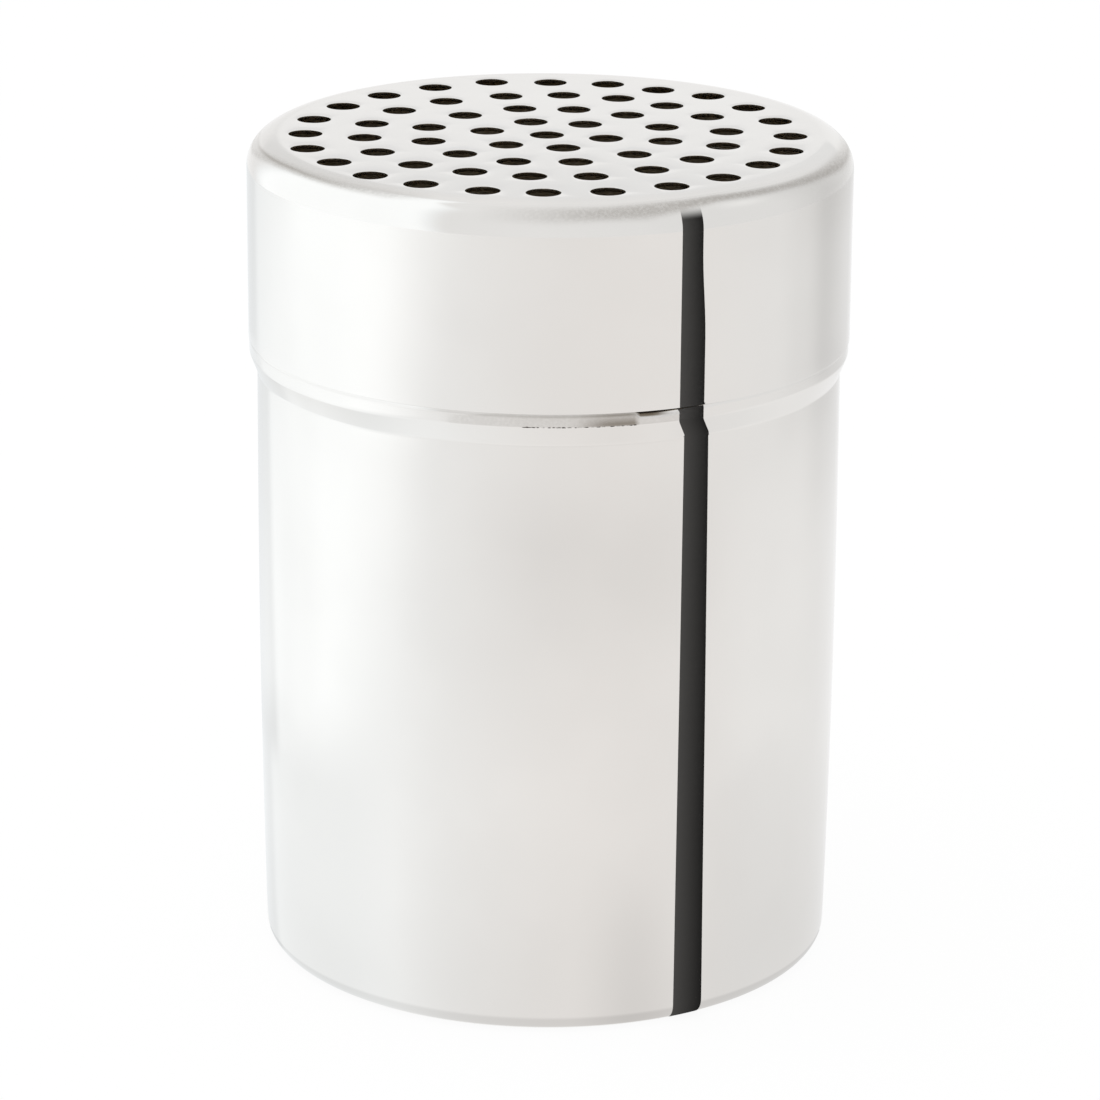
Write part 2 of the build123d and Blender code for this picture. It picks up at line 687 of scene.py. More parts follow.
@dataclass(frozen=True)
class DrawnSteel(MattSteel):
    """The sheet inside a piece, as the press left it: matt, with long draw lines.

    The die drags the sheet along the wall, so the lines run up and down.
    """

    roughness: float = 0.5
    unevenness: float = 0.08
    light: str = "#DACFBB"
    dark: str = "#BAAE9B"
    depth: float = 0.003
    line_spacing: float = 0.7
    """Millimetres between draw lines, coarser than real ones so that they show."""
    line_run: float = 22.0

    def pattern(self, tree: NodeTree, place: NodeSocket) -> NodeSocket:
        """Adds noise that is stretched along the axis."""
        scale = [1 / (size * MM) for size in (self.line_spacing, self.line_spacing, self.line_run)]
        laid = add_node(tree, "Mapping", {"Vector": place, "Scale": scale})
        return add_node(tree, "TexNoise", {"Vector": laid, "Scale": 1.0, "Detail": 3.0})


@dataclass(frozen=True)
class ShearedSteel(MattSteel):
    """A cut edge of the sheet: a bright, smoother sheared land and a grey, torn rest.

    The punch or the trimming die shears the first part of the thickness cleanly and tears the
    rest, so the edge is uneven and mostly matt.
    """

    roughness: float = 0.4
    unevenness: float = -0.15
    light: str = "#CFCAC3"
    dark: str = "#857F78"
    depth: float = 0.02
    tear_size: float = 0.3

    def pattern(self, tree: NodeTree, place: NodeSocket) -> NodeSocket:
        """Adds noise as coarse as the tears."""
        tears = {"Vector": place, "Scale": 1 / (self.tear_size * MM), "Detail": 2.0}
        return add_node(tree, "TexNoise", tears)


def dressed(name: str, mesh: Mesh, *finishes: Steel) -> Object:
    """Makes a piece of a mesh.

    Args:
        name: the piece's name.
        mesh: its mesh.
        *finishes: its finishes, one for each kind of skin and in their order.

    Returns:
        The piece.
    """
    for finish in finishes:
        mesh.materials.append(finish.make())
    return add_object(name, mesh)


# ---- the two pieces ----------------------------------------------------------------------------


@dataclass
class Shaker:
    """What the cup and the lid share, in millimetres, read from the solids or as sheet is made.

    Args:
        sheet: thickness of both sheets.
        lid_radius: outside radius of the lid.
        top: height of the lid's top.
        rim: height of the cup's rim.
        edge: height of the lid's lower edge.
        bead_radius: radius of the stop bead's crest.
        bead_crest: height of that crest.
        neck_clearance: how much narrower the neck is than the lid's bore, on each side.
        neck_radius: outside radius of the neck.
    """

    sheet: float = 0.5
    lid_radius: float = field(init=False)
    top: float = field(init=False)
    rim: float = field(init=False)
    edge: float = field(init=False)
    bead_radius: float = field(init=False)
    bead_crest: float = 74.0
    neck_clearance: float = 0.2
    neck_radius: float = field(init=False)

    def __post_init__(self) -> None:
        """Reads the sizes that the solids fix."""
        lid_low, lid_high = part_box("lid")
        _, cup_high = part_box("cup")
        self.lid_radius = lid_high.x / MM
        self.top = lid_high.z / MM
        self.edge = lid_low.z / MM
        self.rim = cup_high.z / MM
        self.bead_radius = cup_high.x / MM
        self.neck_radius = self.lid_radius - self.sheet - self.neck_clearance


@dataclass
class Cup:
    """The cup: a recessed base in a foot ring, a drawn wall, the stop bead and the neck.

    Args:
        shared: sizes that the lid shares.
        columns: steps round the axis.
    """

    shared: Shaker
    columns: int = 320
    base_recess: float = 0.8
    recess_step_width: float = 1.6
    recess_bend: float = 1.2
    foot_width: float = 5.0
    base_corner: float = 2.2
    body_step: float = 0.9
    """How far the wall under the bead lies inside the bead's crest."""
    wall_draft: float = 0.4
    flare_foot: float = 3.4
    """How far under the bead's crest the wall begins to flare, in millimetres."""
    flare_top: float = 1.06
    """How far under the crest the flare ends in the bead's upright band."""
    flare_bend: float = 0.9
    bead_bend_above: float = 1.0
    barrel: float = 0.25
    """How far the drawn wall bulges halfway up, in millimetres."""
    barrel_start: float = 2.0
    """Height at which the bulge begins, in millimetres."""
    ripple: Ripple = Ripple(seed=5, depth=0.004)
    rippled: Stretch = Stretch(4.0, 14.0, 62.0, 70.0)
    """Heights between which the wall ripples."""
    sunk: float = 0.5
    """How far the crest has been knocked down right of the front, in millimetres."""
    sunk_around: Stretch = Stretch(15.7, 17.1, 19.5, 34.0)
    sunk_over: Stretch = Stretch(-1.0, 0.0, 1.2, 3.0)
    """Where that is: bearings in degrees, and heights over the crest in millimetres."""
    dropped: float = 0.28
    """How much lower the flare lies at the left, in millimetres."""
    dropped_around: Stretch = Stretch(20.0, 38.0, 90.0, 130.0)
    dropped_over: Stretch = Stretch(-5.5, -3.5, -1.0, 0.0)
    """Where that is: degrees to the left of the front, and heights over the crest."""
    foot_dullness: float = 0.8
    foot_worn: tuple[float, float] = (0.02, 0.35)
    """Heights between which the foot ring's wear ends, in millimetres."""
    neck_dullness: float = 0.5
    neck_start: tuple[float, float] = (1.4, 2.0)
    """Heights over the crest between which the neck's dullness begins."""
    band_dull_and_shade: float = 0.36
    band_top: tuple[float, float] = (0.4, 0.5)
    # Height over the crest at which the bead's greyer band ends, and how much lower at the left.
    """Height over the crest at which the bead's dull band ends, and how much lower at the left."""
    band_darkened: Stretch = Stretch(-20.0, -17.0, 23.0, 29.0)
    # Bearings over which the bead's band is greyer and rougher: skin that the lid's edge rubs, and painted
    # shade under that edge.
    """Bearings over which the lid has rubbed the bead dull."""
    # Painted shade: a brown-grey laid on the bead's band, along the lid's edge, in the gap under it and on
    # the flare at the left, where the lid's edge shades the bead or is mirrored in it.
    band_shade: float = 0.78
    band_shaded: Stretch = Stretch(3.0, 12.0, 15.9, 16.9)
    # Bearings over which painted shade covers the bead's band.
    """Bearings over which film covers the bead's band."""
    gap_shaded: Stretch = Stretch(15.7, 16.5, 19.5, 23.5)
    # Bearings over which painted shadow covers the sunk crest in the gap under the lid's edge.
    """Bearings over which it covers the sunk crest."""
    edge_shade: Course = Course(
        ((-85, 0), (-65, 0.04), (-32, 0.06), (-14, 0.16), (0, 0.36), (8, 0.4), (15, 0.48), (17, 0))
    )
    # How deep the painted shade along the lid's edge is, by bearing.
    """How thick film lies along the lid's edge, by bearing."""
    cone_shade: Course = Course(((-74, 0), (-66, 0.17), (-46, 0.14), (-34, 0.08), (-20, 0)))
    # How deep the painted shade on the flare at the left is, by bearing.
    """How thick it lies on the flare at the left, by bearing."""
    speck_line: Course = Course(
        ((-6, 0), (-5, 1), (-2, 1), (-1, 0.8), (1, 0.8), (2.5, 1), (16, 1), (17, 0))
    )
    # How thickly dark specks lie along the band's lower edge, by bearing: a painted reflection of the base's
    # contact shadow.
    """How thickly grains lie along the band's lower edge, by bearing."""
    speck_cover: float = 0.62
    gap_spot: tuple[float, float] = (16.5, -0.4)
    # Bearing of the dark spot of painted shade where the gap begins, and its height over the crest.
    """Bearing of the scar where the gap begins, and its height over the crest."""

    def body_radius(self) -> float:
        """Outside radius of the wall under the bead, in millimetres."""
        return self.shared.bead_radius - self.body_step

    def base_radius(self) -> float:
        """Outside radius of the wall at the base, in millimetres."""
        return self.body_radius() - self.wall_draft

    def section(self, bend_step: float = 4.0) -> Section:
        """Lays out the wall's corners from the middle of the base to the rim.

        The bead is a cone, an upright band and, above the crest, an arc that turns in: of radius
        r, the arc has come in by r (1 - cos a) after turning by a, which gives a.

        Args:
            bend_step: largest turn between two points of a bend, in degrees.

        Returns:
            The section.
        """
        shared = self.shared
        body_radius, base_radius = self.body_radius(), self.base_radius()
        foot_outside = base_radius - self.base_corner
        panel_radius = foot_outside - self.foot_width - self.recess_step_width
        above = math.acos(1 - (shared.bead_radius - shared.neck_radius) / 2 / self.bead_bend_above)
        neck_foot = shared.bead_crest + 2 * self.bead_bend_above * math.sin(above)
        reach = self.bead_bend_above * math.tan(above / 2)
        return Section(
            corners=(
                Corner(0.0, self.base_recess),
                Corner(panel_radius, self.base_recess, self.recess_bend),
                Corner(panel_radius + self.recess_step_width, 0.0, self.recess_bend),
                Corner(base_radius, 0.0, self.base_corner),
                Corner(body_radius, shared.bead_crest - self.flare_foot, self.flare_bend),
                Corner(shared.bead_radius, shared.bead_crest - self.flare_top, self.flare_bend),
                Corner(shared.bead_radius, shared.bead_crest + reach, self.bead_bend_above),
                Corner(shared.neck_radius, neck_foot - reach, self.bead_bend_above),
                Corner(shared.neck_radius, shared.rim),
            ),
            sheet=shared.sheet,
            outside=Outside.RIGHT,
            run_step=2.2,
            bend_step=bend_step,
        )

    def bulge(self, up: np.ndarray) -> np.ndarray:
        """How far the wall swells out at each height: half a sine wave from the base to the flare."""
        length = self.shared.bead_crest - self.flare_foot - self.barrel_start
        share = np.clip((up - self.barrel_start) / length, 0.0, 1.0)
        return self.barrel * np.sin(math.pi * share)

    def build(self) -> Object:
        """Makes the cup, marks its greyer places, its painted shade and its dark specks, and dresses it.

        Returns:
            The piece, riding on the cup's body.
        """
        outline, kinds = self.section().outline()
        angles = np.linspace(0, 2 * math.pi, self.columns, endpoint=False)
        work = Patchwork()
        work.add_grid(revolve(outline, angles), kinds)
        mesh = work.mesh("cup_sheet")
        places = places_of(mesh)
        mark(mesh, "dull_and_shade", self.dullness_and_shade(places))
        mark(mesh, "painted_shade", self.painted_shade(places))
        mark(mesh, "specks", self.specks(places))
        height = places[:, 2]
        outwards = self.ripple.radial(places) * self.rippled.over(height) + self.bulge(height)
        move_to(mesh, self.sink_bead(swell(places, outwards)))
        piece = dressed(
            "cup_drawn_sheet",
            mesh,
            BuffedSteel("buffed_stainless_cup"),
            DrawnSteel("drawn_stainless_cup_inside"),
            ShearedSteel("trimmed_stainless_rim"),
        )
        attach(piece, "cup")
        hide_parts("cup")
        return piece

    def dullness_and_shade(self, places: np.ndarray) -> np.ndarray:
        """How grey and rough each place is: the foot ring from standing, and the bead's front from the
        lid's rubbing, with painted shade under the lid's edge.

        Args:
            places: points in millimetres.

        Returns:
            0 where buffed to 1 where greyest.
        """
        over, around = places[:, 2] - self.shared.bead_crest, bearing(places)
        foot = self.foot_dullness * (1 - smooth_step(places[:, 2], *self.foot_worn))
        high = self.band_top[0] - self.band_top[1] * (1 - smooth_step(around, -18.0, -8.0))
        band = smooth_step(over, -self.flare_top - 0.08, -self.flare_top + 0.04)
        band *= 1 - smooth_step(over - high, -0.1, 0.1)
        neck = self.neck_dullness * smooth_step(over, *self.neck_start)
        return np.clip(foot + self.band_dull_and_shade * band * self.band_darkened.over(around) + neck, 0.0, 1.0)

    def painted_shade(self, places: np.ndarray) -> np.ndarray:
        """How deep the painted shade lies: on the band's right half, along the lid's edge, in the
        gap under it and on the flare at the left.

        Args:
            places: points in millimetres.

        Returns:
            0 where unshaded to 1 where fully shaded.
        """
        over, around = places[:, 2] - self.shared.bead_crest, bearing(places)
        band = smooth_step(over, -self.flare_top - 0.1, -self.flare_top + 0.1)
        band *= self.band_shade * (1 - 0.65 * smooth_step(over, -0.8, 0.1)) * self.band_shaded.over(around)
        edge = self.edge_shade.at(around) * bump(over, 0.16, 0.17)
        gap = self.gap_shaded.over(around) * smooth_step(over, 0.2, 0.4)
        flare = Stretch(-self.flare_foot, 0.5 - self.flare_foot, -0.3 - self.flare_top, -self.flare_top)
        cone = self.cone_shade.at(around) * flare.over(over)
        return np.clip(band + edge + gap + cone, 0.0, 1.0) * (over < 1.5)

    def specks(self, places: np.ndarray) -> np.ndarray:
        """How thickly dark specks lie: along the band's lower edge, a painted reflection of the base's
        contact shadow, and where the gap begins, painted shade.

        Args:
            places: points in millimetres.

        Returns:
            0 where clear to 1 where fully specked.
        """
        over, around = places[:, 2] - self.shared.bead_crest, bearing(places)
        line = bump(over, -self.flare_top - 0.02, 0.12) * self.speck_line.at(around)
        gap_spot = bump(around, self.gap_spot[0], 0.9) * bump(over, self.gap_spot[1], 0.45)
        return np.clip(self.speck_cover * (line + gap_spot), 0.0, 1.0)

    def sink_bead(self, places: np.ndarray) -> np.ndarray:
        """Lowers the bead's crest right of the front, and its flare at the left.

        So a gap opens under the lid's edge at one side, and the upright band is taller at the other.

        Args:
            places: points in millimetres.

        Returns:
            The moved points.
        """
        over, around = places[:, 2] - self.shared.bead_crest, bearing(places)
        moved = places.copy()
        moved[:, 2] -= self.sunk * self.sunk_over.over(over) * self.sunk_around.over(around)
        moved[:, 2] -= self.dropped * self.dropped_over.over(over) * self.dropped_around.over(-around)
        return moved


@dataclass(frozen=True)
class HolePattern:
    """The lid's pour holes: one in the middle and rings of six more each, in cells of plain sheet.

    Each ring is divided evenly into cells, one to a hole. The cells of two rings meet on a circle
    on which both have the same points, so the plate closes without a seam.

    Args:
        rings: rings round the middle hole.
        pitch: distance from ring to ring, in millimetres.
        radius: radius of a hole's bore, in millimetres.
        turn: bearing of the ray on which all rings share a hole, in degrees from +X.
        ring_turns: how far each ring is turned from that ray, in degrees.
        skew: how far the punch's indexing runs ahead and behind twice round the lid, in degrees.
        skew_turn: the turn at which it does so, in degrees.
        off_centre: how far the whole pattern lies from the lid's axis.
        strays: how far each ring's holes lie from there, as (x, y) in stray steps.
    """

    rings: int = 4
    pitch: float = 6.95
    radius: float = 1.96
    turn: float = 105.4
    ring_turns: tuple[float, ...] = (0.0, 1.9, 0.2, 0.05, -0.2)
    skew: float = 1.24
    skew_turn: float = 36.0
    off_centre: tuple[float, float] = (-0.45, -0.89)
    strays: tuple[tuple[tuple[int, int], ...], ...] = (
        ((1, -4),),
        ((2, -5), (-1, 3), (1, -1), (0, 2), (1, -4), (-3, 4)),
        ((6, -4), (5, -6), (-2, -2), (-3, 6), (-4, 5), (-3, 1), (-3, 2), (4, 7), (3, 10), (1, 3),
         (-2, 4), (-6, -9)),
        ((6, -6), (-3, -6), (-5, -3), (-1, -5), (-2, 4), (-9, 3), (-5, -3), (2, 12), (1, 8), (-3, 0),
         (1, 7), (-1, 6), (-1, 2), (1, -3), (3, 7), (-4, 6), (-2, 3), (3, -2)),
        ((2, 11), (2, 1), (1, -2), (1, -2), (-3, -1), (2, 2), (-8, 1), (-1, 4), (-5, -9), (-3, -3),
         (5, -7), (0, -3), (1, -6), (8, -5), (6, -8), (6, -2), (7, -7), (5, -9), (-1, -4), (1, 2),
         (-1, 13), (-6, -7), (3, 0), (3, -4)),
    )
    stray_step: float = 0.05
    inner_steps: tuple[int, ...] = (0, 8, 8, 8, 12)
    """Steps of each ring's cells on the circle that they share with the ring inside."""
    outer_steps: tuple[int, ...] = (48, 16, 12, 16, 12)
    """Steps on the circle outside. Both rings beside a circle have the same number in all."""
    side_steps: int = 10

    def plate_radius(self) -> float:
        """The radius of the circle on which the outermost cells end."""
        return (self.rings + 0.5) * self.pitch

    def rim_angles(self) -> np.ndarray:
        """The angles, in radians, of the points on that circle."""
        count = 6 * self.rings * self.outer_steps[-1]
        start = math.radians(self.turn - 30 / self.rings)
        return start + np.arange(count) * 2 * math.pi / count

    def cell(self, ring: int, number: int) -> np.ndarray:
        """Walks round a cell: along its inner arc, out, back along its outer arc and in.

        Args:
            ring: the ring, 0 for the middle hole.
            number: the cell's number in its ring.

        Returns:
            Points of the cell's outline as (x, y), closed without repeating the first.
        """
        if ring == 0:
            steps = self.outer_steps[0]
            angle = math.radians(self.turn) - np.arange(steps) * 2 * math.pi / steps
            return self.pitch / 2 * np.stack([np.cos(angle), np.sin(angle)], axis=1)
        half = 30 / ring
        middle = self.turn + number * 2 * half
        near, far = (ring - 0.5) * self.pitch, (ring + 0.5) * self.pitch
        inner = np.linspace(-half, half, self.inner_steps[ring], endpoint=False)
        outer = np.linspace(half, -half, self.outer_steps[ring], endpoint=False)
        out = np.linspace(near, far, self.side_steps, endpoint=False)
        back = np.linspace(far, near, self.side_steps, endpoint=False)
        ones = np.ones(self.side_steps)
        angle = np.radians(middle + np.concatenate([inner, ones * half, outer, -ones * half]))
        reach = np.concatenate([np.full(len(inner), near), out, np.full(len(outer), far), back])
        return reach[:, None] * np.stack([np.cos(angle), np.sin(angle)], axis=1)

    def holes(self) -> list[tuple[np.ndarray, np.ndarray]]:
        """Places every hole in its cell.

        Returns:
            For each hole, its centre and its cell's outline.
        """
        placed = []
        for ring in range(self.rings + 1):
            for number in range(max(1, 6 * ring)):
                angle = math.radians(self.turn + self.ring_turns[ring] + number * 60 / max(1, ring))
                angle += math.radians(self.skew) * math.sin(2 * angle + math.radians(self.skew_turn))
                centre = ring * self.pitch * np.array([math.cos(angle), math.sin(angle)])
                centre += np.array(self.off_centre)
                centre += self.stray_step * np.array(self.strays[ring][number])
                placed.append((centre, self.cell(ring, number)))
        return placed


@dataclass
class PunchedLid:
    """The lid: a punched plate, a rounded corner and a skirt with a trimmed edge.

    Args:
        shared: sizes that the cup shares.
        pattern: the pour holes.
    """

    shared: Shaker
    pattern: HolePattern = HolePattern()
    corner: float = 3.6
    roll_over: float = 0.05
    """Radius that the punch draws at the top of each hole, in millimetres."""
    burr_break: float = 0.05
    dip: float = 0.02
    """How far the punch pulls the sheet down round a hole, in millimetres."""
    plate_wave: float = 0.008
    ripple: Ripple = Ripple(seed=11, depth=0.004, length=30.0)
    settle: float = 0.08
    """How far the pushed-on lid closes the seat's clearance, in millimetres."""
    lip: float = 0.44
    """How far the outer side of the worn edge hangs over the bead, in millimetres."""
    ridge: Course = Course(
        ((0, 41), (18, 44), (28, 50.5), (33, 53.5), (44, 50), (56, 47.5), (76, 44))
    )
    # Tilt of the corner at which the grey ridge lies, by bearing: partly skin that the wheel missed, partly
    # painted dark reflection.
    """Tilt of the corner at which the ridge that the wheel missed lies, by bearing."""
    ridge_half: Course = Course(
        ((0, 14), (9, 12), (18, 14), (28, 9), (36, 6.5), (50, 6.5), (63, 9), (76, 13))
    )
    """Half its width in degrees of tilt, by bearing."""
    ridge_depth: Course = Course(
        ((-14, 0), (0, 0.45), (9, 0.78), (18, 0.85), (36, 0.95), (50, 0.8), (70, 0.9), (80, 0.7), (110, 0.2))
    )
    # How grey it is, by bearing.
    """How dull it is, by bearing."""
    border: Course = Course(((-82, 36), (-76, 42), (-69, 50.5), (-61, 54.5), (-32, 54), (-24, 60)))
    # Tilt of the corner above which its left is greyer, by bearing: painted dark reflection.
    """Tilt of the corner above which its left is dull, by bearing."""
    border_depth: Course = Course(
        ((-120, 0.3), (-85, 0.6), (-70, 0.8), (-45, 0.8), (-32, 0.55), (-22, 0))
    )
    shade_under_ridge: float = 0.28
    # How grey the painted shade below the ridge's right end is.
    """How dull the grey bloom below the ridge's right end is."""
    shade_line: Course = Course(((-82, 52), (-68, 57), (-61, 60), (-32, 59.5)))
    # Tilt of the corner along which a thin line of painted dark reflection lies, by bearing.
    """Tilt of the corner along which a thin line of film lies, by bearing."""
    shade_depth: Course = Course(((-84, 0.2), (-74, 0.5), (-54, 0.3), (-44, 0.08), (-34, 0)))

    def plate(self, work: Patchwork) -> None:
        """Adds the punched plate, one cell at a time.

        On the ray from a hole's centre to a point of its cell's outline, the surface comes in
        along the top, turns down a quarter round into the bore, and goes back out underneath. The
        whole ray lies lower near the hole: by the dip times the fourth power of the share of the way.

        Args:
            work: the patchwork that takes the grids.
        """
        top, sheet, radius = self.shared.top, self.shared.sheet, self.pattern.radius
        share_in = np.array([1.0, 0.82, 0.64, 0.46, 0.3, 0.16, 0.06])
        share_out = np.array([0.0, 0.3, 0.65, 1.0])
        angle = np.linspace(0, math.pi / 2, 5)
        kinds = np.concatenate(
            [
                np.full(len(share_in) + len(angle) - 1, Skin.OUTSIDE.value),
                np.full(2, Skin.CUT.value),
                np.full(len(share_out) - 1, Skin.INSIDE.value),
            ]
        )
        for centre, cell in self.pattern.holes():
            spoke = cell - centre
            reach = np.linalg.norm(spoke, axis=1)
            spoke /= reach[:, None]
            roll_start = radius + self.roll_over
            above = roll_start + np.outer(share_in, reach - roll_start)
            turned = radius + self.roll_over * (1 - np.sin(angle))
            bore = np.array([radius])
            below_start = radius + self.burr_break
            below = below_start + np.outer(share_out, reach - below_start)
            level = np.ones_like(reach)
            outs = np.concatenate([above, np.outer(turned, level), np.outer(bore, level), below])
            drops = np.concatenate(
                [
                    np.zeros(len(share_in)),
                    self.roll_over * (1 - np.cos(angle)),
                    [sheet - self.burr_break],
                    np.full(len(share_out), sheet),
                ]
            )
            near = np.clip(1 - (outs - radius) / (reach - radius), 0.0, 1.0)
            heights = top - drops[:, None] - self.dip * near**4
            flat = centre + outs[..., None] * spoke
            work.add_grid(np.concatenate([flat, heights[..., None]], axis=-1), kinds)

    def section(self, bend_step: float = 2.5) -> Section:
        """Lays out the corner and the skirt, from the plate's last circle to the trimmed edge.

        Args:
            bend_step: largest turn between two points of a bend, in degrees.

        Returns:
            The section.
        """
        shared = self.shared
        return Section(
            corners=(
                Corner(self.pattern.plate_radius(), shared.top),
                Corner(shared.lid_radius, shared.top, self.corner),
                Corner(shared.lid_radius, shared.edge - self.settle - self.lip),
            ),
            sheet=shared.sheet,
            outside=Outside.LEFT,
            bend_step=bend_step,
            hold=0.04,
            edge_roundness=0.1,
            lip=self.lip,
        )

    def skirt(self, work: Patchwork) -> None:
        """Adds the corner and the skirt, round the edge and back.

        Args:
            work: the patchwork that takes the grid.
        """
        outline, kinds = self.section().outline()
        work.add_grid(revolve(outline, self.pattern.rim_angles()), kinds)

    def bend_sheet(self, places: np.ndarray) -> np.ndarray:
        """Takes the lid out of true, as drawing and handling have, by slow waves.

        Args:
            places: points of the true lid, in millimetres.

        Returns:
            The points of the handled lid.
        """
        height = places[:, 2]
        free = smooth_step(-height, -self.shared.top + 1.0, -self.shared.top + self.corner + 4.0)
        moved = swell(places, free * self.ripple.radial(places))
        across, back = places[:, 0] / self.shared.lid_radius, places[:, 1] / self.shared.lid_radius
        flat = smooth_step(height, self.shared.top - 2.0, self.shared.top - 1.0)
        wave = np.sin(3.1 * across + 1.0) * np.cos(2.3 * back) + 0.5 * np.sin(5.2 * back + across)
        moved[:, 2] += self.plate_wave * wave * flat
        return moved

    def corner_places(self, places: np.ndarray) -> tuple[np.ndarray, np.ndarray, np.ndarray]:
        """Finds how each place lies to the corner's arc, whose sine of tilt is rise over radius.

        Args:
            places: points in millimetres.

        Returns:
            Distance from the axis, rise over the arc's lower end, and the arc's tilt in degrees.
        """
        rise = places[:, 2] - (self.shared.top - self.corner)
        tilt = np.degrees(np.arcsin(np.clip(rise / self.corner, -1.0, 1.0)))
        return np.hypot(places[:, 0], places[:, 1]), rise, tilt

    def dullness_and_shade(self, places: np.ndarray) -> np.ndarray:
        """How grey each place is: a ridge along the corner, partly skin that the buffing wheel hardly
        reached and partly painted dark reflection.

        The ridge is broad in front, narrow and sharp at the right, and at the left it ends
        sharply outwards and fades inwards. Below its right part the wall is painted a faint grey shade.

        Args:
            places: points in millimetres.

        Returns:
            0 where buffed to 1 where greyest.
        """
        spread, rise, tilt = self.corner_places(places)
        around, ridge = bearing(places), self.ridge.at(bearing(places))
        inner = self.shared.lid_radius - self.corner
        off_ridge = np.abs((tilt - ridge) / self.ridge_half.at(around))
        right = self.ridge_depth.at(around) * np.exp(-0.7 * off_ridge**3)
        beyond = tilt - self.border.at(around)
        inwards = smooth_step(beyond, -9.0, 3.0) * (1 - 0.65 * smooth_step(beyond, 2.0, 22.0))
        left = inwards * self.border_depth.at(around)
        shade_under_ridge = Stretch(38.0, 76.0, 100.0, 140.0).over(around) * smooth_step(ridge - tilt, -4.0, 6.0)
        shade_under_ridge *= self.shade_under_ridge * smooth_step(rise, -8.0, 1.0) * (spread > inner)
        on_corner = smooth_step(spread, inner - 0.4, inner + 0.3)
        return np.clip(on_corner * (right + left) + shade_under_ridge, 0.0, 1.0)

    def painted_shade(self, places: np.ndarray) -> np.ndarray:
        """How deep the painted dark reflection lies: in one thin line along the left of the corner.

        Args:
            places: points in millimetres.

        Returns:
            0 where clear to 1 where fully darkened.
        """
        spread, _, tilt = self.corner_places(places)
        around = bearing(places)
        shade_tone = self.shade_depth.at(around) * bump(tilt, self.shade_line.at(around), 3.0)
        return shade_tone * (spread > self.shared.lid_radius - self.corner)

    def build(self) -> Object:
        """Makes the lid, marks its greyer places and its painted dark reflection, and dresses it.

        Returns:
            The piece, riding on the lid's body.
        """
        work = Patchwork()
        self.plate(work)
        self.skirt(work)
        mesh = work.mesh("lid_sheet")
        places = places_of(mesh)
        mark(mesh, "dull_and_shade", self.dullness_and_shade(places))
        mark(mesh, "painted_shade", self.painted_shade(places))
        mark(mesh, "specks", np.zeros(len(places)))
        move_to(mesh, self.bend_sheet(places))
        bores = ShearedSteel(
            "punched_stainless_bores",
            roughness=0.26,
            unevenness=-0.12,
            light="#D6CBBA",
            dark="#8C8171",
            depth=0.05,
            tear_size=0.7,
        )
        piece = dressed(
            "lid_punched_sheet",
            mesh,
            BuffedSteel("buffed_stainless_lid"),
            DrawnSteel("drawn_stainless_lid_inside", roughness=0.52),
            bores,
        )
        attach(piece, "lid")
        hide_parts("lid")
        return piece


# ---- the studio --------------------------------------------------------------------------------


@dataclass(frozen=True)
class Lamp:
    """A round softbox, in metres and watts.

    Args:
        name: the lamp's name.
        place: where it hangs.
        aim: the point that it faces.
        watts: its power.
        size: its diameter.
    """

    name: str
    place: tuple[float, float, float]
    aim: tuple[float, float, float]
    watts: float
    size: float

    def build(self) -> Object:
        """Makes the lamp, which lights the table but isn't mirrored as a shape of its own.

        Returns:
            The lamp's object.
        """
        light = bpy.data.lights.new(self.name, "AREA")
        light.shape = "DISK"
        light.size = self.size
        light.energy = self.watts
        lamp = add_object(self.name, light)
        lamp.location = self.place
        lamp.rotation_mode = "QUATERNION"
        lamp.rotation_quaternion = (Vector(self.aim) - Vector(self.place)).to_track_quat("-Z", "Y")
        lamp.visible_glossy = False
        return lamp


@dataclass(frozen=True)
class WhitePaper:
    """White paper, so evenly lit that its own shading hardly shows, with a faint contact shadow.

    Args:
        colour: the paper's colour.
        glow: share of its white that is there whatever falls on it, when seen or mirrored.
    """

    colour: str = "#F8F8F8"
    glow: float = 0.93

    def make(self) -> Material:
        """Builds the material.

        Returns:
            The material.
        """
        material, tree = empty_material("white_paper")
        shown = {0: seen_or_mirrored(tree), 1: self.glow}
        share = add_node(tree, "Math", shown, operation="MULTIPLY")
        paper = add_node(tree, "BsdfDiffuse", {"Color": linear(self.colour)})
        white = add_node(tree, "Emission", {"Strength": 1.0})
        surface = add_node(tree, "MixShader", {0: share, 1: paper, 2: white})
        add_node(tree, "OutputMaterial", {"Surface": surface})
        return material


@dataclass(frozen=True)
class CardPaint:
    """Card that is only mirrored, as bright as its attribute "level" says, 1 for white.

    Its light is cool where the attribute "warmth" is 0 and warm where it is 1. It fades out where
    its attribute "shown" falls to 0.

    Args:
        name: the material's name.
        cool: colour of its coolest light.
        warm: colour of its warmest light.
    """

    name: str
    cool: str = "#FAFDFF"
    warm: str = "#FFFDFC"

    def make(self) -> Material:
        """Builds the material.

        Returns:
            The material.
        """
        material, tree = empty_material(self.name)
        level, shown, warmth = (
            add_node(tree, "Attribute", out="Fac", attribute_name=name)
            for name in ("level", "shown", "warmth")
        )
        tones = {0: warmth, 6: linear(self.cool), 7: linear(self.warm)}
        colour = add_node(tree, "Mix", tones, out=2, data_type="RGBA")
        light = add_node(tree, "Emission", {"Color": colour, "Strength": level})
        clear = add_node(tree, "BsdfTransparent")
        surface = add_node(tree, "MixShader", {0: shown, 1: clear, 2: light})
        add_node(tree, "OutputMaterial", {"Surface": surface})
        return material


